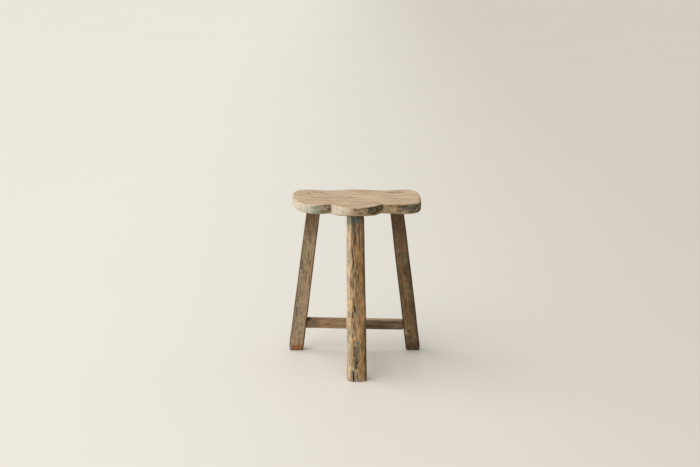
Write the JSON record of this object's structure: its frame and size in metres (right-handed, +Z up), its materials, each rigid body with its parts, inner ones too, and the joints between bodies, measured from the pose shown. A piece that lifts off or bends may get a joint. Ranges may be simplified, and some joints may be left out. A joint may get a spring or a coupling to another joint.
{
  "type": "milking stool",
  "caption": "Wooden milking stool: a scalloped plank seat on splayed, hewn legs tenoned into it and braced by a T of stretchers.",
  "frame": {"origin": "on the floor, under the middle of the stool's box", "axes": "+Z up, +X to the right seen from the front, +Y towards the back, where the two rear legs stand"},
  "size_m": [0.3648, 0.283, 0.455],
  "materials": {
    "seat_wood": "bare softwood rubbed smooth and pale on top, with worn blue-green paint on its edge",
    "rear_leg_wood": "bare weathered softwood, brown and matt, worn at the feet",
    "front_leg_wood": "bare cracked ochre softwood with traces of blue-green paint",
    "stretcher_wood": "bare dark softwood, matt",
    "peg_wood": "bare whittled hardwood, matt"
  },
  "bodies": {
    "root": {"seat": "seat_wood", "left_rear_leg": "rear_leg_wood", "right_rear_leg": "rear_leg_wood", "front_leg": "front_leg_wood", "rear_stretcher": "stretcher_wood", "centre_stretcher": "stretcher_wood", "left_leg_wedge": "peg_wood", "right_leg_wedge": "peg_wood", "front_tenon_wedge": "peg_wood", "left_stretcher_peg": "peg_wood", "right_stretcher_peg": "peg_wood", "centre_stretcher_peg": "peg_wood"}
  },
  "joints": []
}
